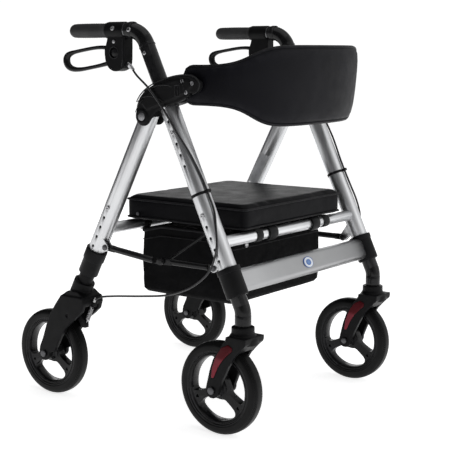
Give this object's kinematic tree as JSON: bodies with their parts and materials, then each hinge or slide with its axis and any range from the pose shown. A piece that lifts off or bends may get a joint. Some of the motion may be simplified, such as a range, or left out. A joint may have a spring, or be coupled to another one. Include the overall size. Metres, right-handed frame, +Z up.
{
  "type": "rollator walker",
  "caption": "Folding wheeled walking frame with swivel front casters, hand brakes, padded flip-up seat, curved backrest and under-seat bag.",
  "frame": {"origin": "on the floor, below the centre of the overall box", "axes": "+Z up, the front of the walker with the swivel casters faces -Y, the user stands at +Y, +X is the user's left"},
  "size_m": [0.603, 0.694, 0.8576],
  "materials": {
    "silver_tube": "satin anodised",
    "black_metal": "gloss black powder coat",
    "black_plastic": "fine grain",
    "gloss_black": "gloss moulded",
    "grip_rubber": "matt",
    "seat_vinyl": "padded vinyl",
    "back_cover": "smooth padded cover",
    "bag_nylon": "woven nylon",
    "cable_sheath": "smooth",
    "bolt_steel": "plated",
    "badge": "gloss",
    "insert_red": "gloss",
    "wheel": "moulded"
  },
  "bodies": {
    "front_frame": {"front_leg_l": "silver_tube", "front_leg_r": "silver_tube", "front_sleeves": "black_plastic", "front_crossbar": "silver_tube", "crossbar_badge": "badge", "seat_front_rail": "silver_tube", "bracket_l": "black_plastic", "bracket_r": "black_plastic", "bracket_screws": "bolt_steel", "fold_bolts": "bolt_steel", "backrest": "back_cover", "cable_ties": "black_plastic", "link_pins_front": "bolt_steel", "leg_screws_front": "bolt_steel", "bag": "bag_nylon", "bag_straps": "bag_nylon", "cable_upper_l": "cable_sheath", "cable_upper_r": "cable_sheath", "cable_lower_l": "cable_sheath", "cable_lower_r": "cable_sheath"},
    "rear_frame": {"rear_leg_l": "silver_tube", "rear_leg_r": "silver_tube", "seat_rear_rail": "silver_tube", "rear_sleeves": "black_plastic", "link_pins_rear": "bolt_steel", "leg_screws_rear": "bolt_steel"},
    "seat": {"seat_board": "black_plastic", "seat_pad": "seat_vinyl"},
    "front_links": {"link_front_l": "black_metal", "link_front_r": "black_metal"},
    "rear_links": {"link_rear_l": "black_metal", "link_rear_r": "black_metal"},
    "handle_l": {"handle_tube_l": "black_metal", "grip_l": "grip_rubber", "brake_housing_l": "black_plastic"},
    "lever_l": {"brake_lever_l": "gloss_black"},
    "rear_foot_l": {"rear_fork_l": "gloss_black", "rear_axle_l": "bolt_steel", "brake_spring_l": "bolt_steel"},
    "brake_shoe_l": {"brake_arm_l": "black_plastic"},
    "front_foot_l": {"front_stem_l": "black_metal"},
    "caster_l": {"front_fork_l": "gloss_black", "fork_insert_l": "insert_red", "front_axle_l": "bolt_steel"},
    "front_wheel_l": {"wheel_front_l": "wheel"},
    "rear_wheel_l": {"wheel_rear_l": "wheel"},
    "handle_r": {"handle_tube_r": "black_metal", "grip_r": "grip_rubber", "brake_housing_r": "black_plastic"},
    "lever_r": {"brake_lever_r": "gloss_black"},
    "rear_foot_r": {"rear_fork_r": "gloss_black", "rear_axle_r": "bolt_steel", "brake_spring_r": "bolt_steel"},
    "brake_shoe_r": {"brake_arm_r": "black_plastic"},
    "front_foot_r": {"front_stem_r": "black_metal"},
    "caster_r": {"front_fork_r": "gloss_black", "fork_insert_r": "insert_red", "front_axle_r": "bolt_steel"},
    "front_wheel_r": {"wheel_front_r": "wheel"},
    "rear_wheel_r": {"wheel_rear_r": "wheel"}
  },
  "joints": [
    {"name": "fold", "type": "hinge", "parent": "front_frame", "child": "rear_frame", "pos_m": [0, -0.056, 0.66], "axis": [-1, 0, 0], "range_deg": [0, 28], "deforming": ["bag", "bag_straps", "cable_lower_l", "cable_lower_r"]},
    {"name": "seat_tip", "type": "hinge", "parent": "front_frame", "child": "seat", "pos_m": [0, -0.2407, 0.405], "axis": [1, 0, 0], "range_deg": [0, 63]},
    {"name": "front_link_fold", "type": "hinge", "parent": "front_frame", "child": "front_links", "pos_m": [0, -0.226, 0.35], "axis": [1, 0, 0], "range_deg": [0, 63.32]},
    {"name": "rear_link_fold", "type": "hinge", "parent": "rear_frame", "child": "rear_links", "pos_m": [0, 0.065, 0.366], "axis": [-1, 0, 0], "range_deg": [0, 38.04]},
    {"name": "handle_height_l", "type": "slide", "parent": "front_frame", "child": "handle_l", "axis": [0, 0.4258, 0.9048], "range_m": [-0.075, 0.05], "deforming": ["cable_upper_l"]},
    {"name": "brake_squeeze_l", "type": "hinge", "parent": "handle_l", "child": "lever_l", "pos_m": [0.264, 0.047, 0.793], "axis": [1, 0, 0], "range_deg": [0, 11], "stiffness_Nm_per_rad": 1.5, "springref_deg": -8.59},
    {"name": "rear_height_l", "type": "slide", "parent": "rear_frame", "child": "rear_foot_l", "axis": [0, 0.4633, -0.8862], "range_m": [0, 0.1]},
    {"name": "brake_shoe_swing_l", "type": "hinge", "parent": "rear_foot_l", "child": "brake_shoe_l", "pos_m": [0.264, 0.17, 0.2], "axis": [-1, 0, 0], "range_deg": [0, 3.1], "deforming": ["brake_spring_l"]},
    {"name": "front_height_l", "type": "slide", "parent": "front_frame", "child": "front_foot_l", "axis": [0, -0.4258, -0.9048], "range_m": [0, 0.1]},
    {"name": "caster_swivel_l", "type": "hinge", "parent": "front_foot_l", "child": "caster_l", "pos_m": [0.264, -0.3034, 0.225], "axis": [0, 0, 1], "continuous": true},
    {"name": "front_wheel_spin_l", "type": "hinge", "parent": "caster_l", "child": "front_wheel_l", "pos_m": [0.264, -0.247, 0.1], "axis": [1, 0, 0], "continuous": true},
    {"name": "rear_wheel_spin_l", "type": "hinge", "parent": "rear_foot_l", "child": "rear_wheel_l", "pos_m": [0.264, 0.247, 0.1], "axis": [1, 0, 0], "continuous": true},
    {"name": "handle_height_r", "type": "slide", "parent": "front_frame", "child": "handle_r", "axis": [0, 0.4258, 0.9048], "range_m": [-0.075, 0.05], "deforming": ["cable_upper_r"]},
    {"name": "brake_squeeze_r", "type": "hinge", "parent": "handle_r", "child": "lever_r", "pos_m": [-0.264, 0.047, 0.793], "axis": [1, 0, 0], "range_deg": [0, 11], "stiffness_Nm_per_rad": 1.5, "springref_deg": -8.59},
    {"name": "rear_height_r", "type": "slide", "parent": "rear_frame", "child": "rear_foot_r", "axis": [0, 0.4633, -0.8862], "range_m": [0, 0.1]},
    {"name": "brake_shoe_swing_r", "type": "hinge", "parent": "rear_foot_r", "child": "brake_shoe_r", "pos_m": [-0.264, 0.17, 0.2], "axis": [-1, 0, 0], "range_deg": [0, 3.1], "deforming": ["brake_spring_r"]},
    {"name": "front_height_r", "type": "slide", "parent": "front_frame", "child": "front_foot_r", "axis": [0, -0.4258, -0.9048], "range_m": [0, 0.1]},
    {"name": "caster_swivel_r", "type": "hinge", "parent": "front_foot_r", "child": "caster_r", "pos_m": [-0.264, -0.3034, 0.225], "axis": [0, 0, 1], "continuous": true},
    {"name": "front_wheel_spin_r", "type": "hinge", "parent": "caster_r", "child": "front_wheel_r", "pos_m": [-0.264, -0.247, 0.1], "axis": [1, 0, 0], "continuous": true},
    {"name": "rear_wheel_spin_r", "type": "hinge", "parent": "rear_foot_r", "child": "rear_wheel_r", "pos_m": [-0.264, 0.247, 0.1], "axis": [1, 0, 0], "continuous": true}
  ],
  "couplings": [
    {"joint": "seat_tip", "follows": "fold", "ratio": 2.25},
    {"joint": "front_link_fold", "follows": "fold", "ratio": 2.2614},
    {"joint": "rear_link_fold", "follows": "fold", "ratio": 1.3584},
    {"joint": "brake_shoe_swing_l", "follows": "brake_squeeze_l", "ratio": 0.28},
    {"joint": "brake_shoe_swing_r", "follows": "brake_squeeze_r", "ratio": 0.28}
  ]
}
